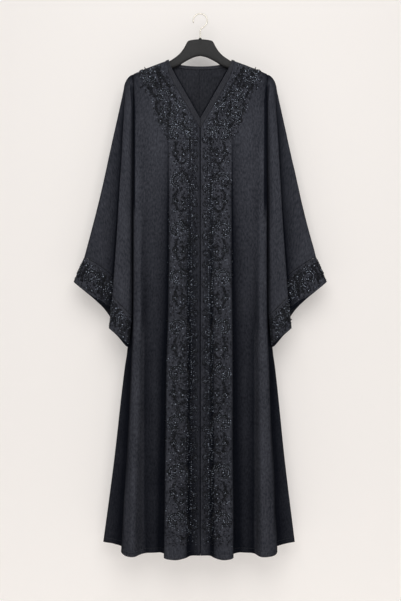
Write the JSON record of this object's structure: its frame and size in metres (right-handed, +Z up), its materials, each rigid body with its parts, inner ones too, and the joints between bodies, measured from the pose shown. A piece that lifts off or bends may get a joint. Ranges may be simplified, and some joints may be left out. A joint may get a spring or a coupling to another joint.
{
  "type": "abaya cloak on hanger",
  "caption": "Full-length open-front cloak with V neck, wide sleeves with banded cuffs and applied lace down the fronts, hanging on a contoured hanger.",
  "frame": {"origin": "inside of the hook's crown, where the rail carries the hanger", "axes": "+Z up, +X to the wearer's left, -Y the cloak's front"},
  "size_m": [0.72, 0.1024, 1.5388],
  "materials": {
    "crepe": "matte black crepe",
    "neck_band": "matte black crepe, topstitched",
    "lace": "black corded lace with beads",
    "hanger_plastic": "matte black moulding",
    "hook_steel": "plain wire"
  },
  "bodies": {
    "root": {"front_left": "crepe", "front_right": "crepe", "back_left": "crepe", "back_right": "crepe", "sleeve_front_left": "crepe", "sleeve_front_right": "crepe", "sleeve_back_left": "crepe", "sleeve_back_right": "crepe", "cuff_left": "lace", "cuff_right": "lace", "lace_left": "lace", "lace_right": "lace", "neck_band_left": "neck_band", "neck_band_right": "neck_band", "neck_band_back": "neck_band", "hanger_body": "hanger_plastic", "hanger_ferrule": "hanger_plastic", "hanger_hook": "hook_steel"}
  },
  "joints": []
}
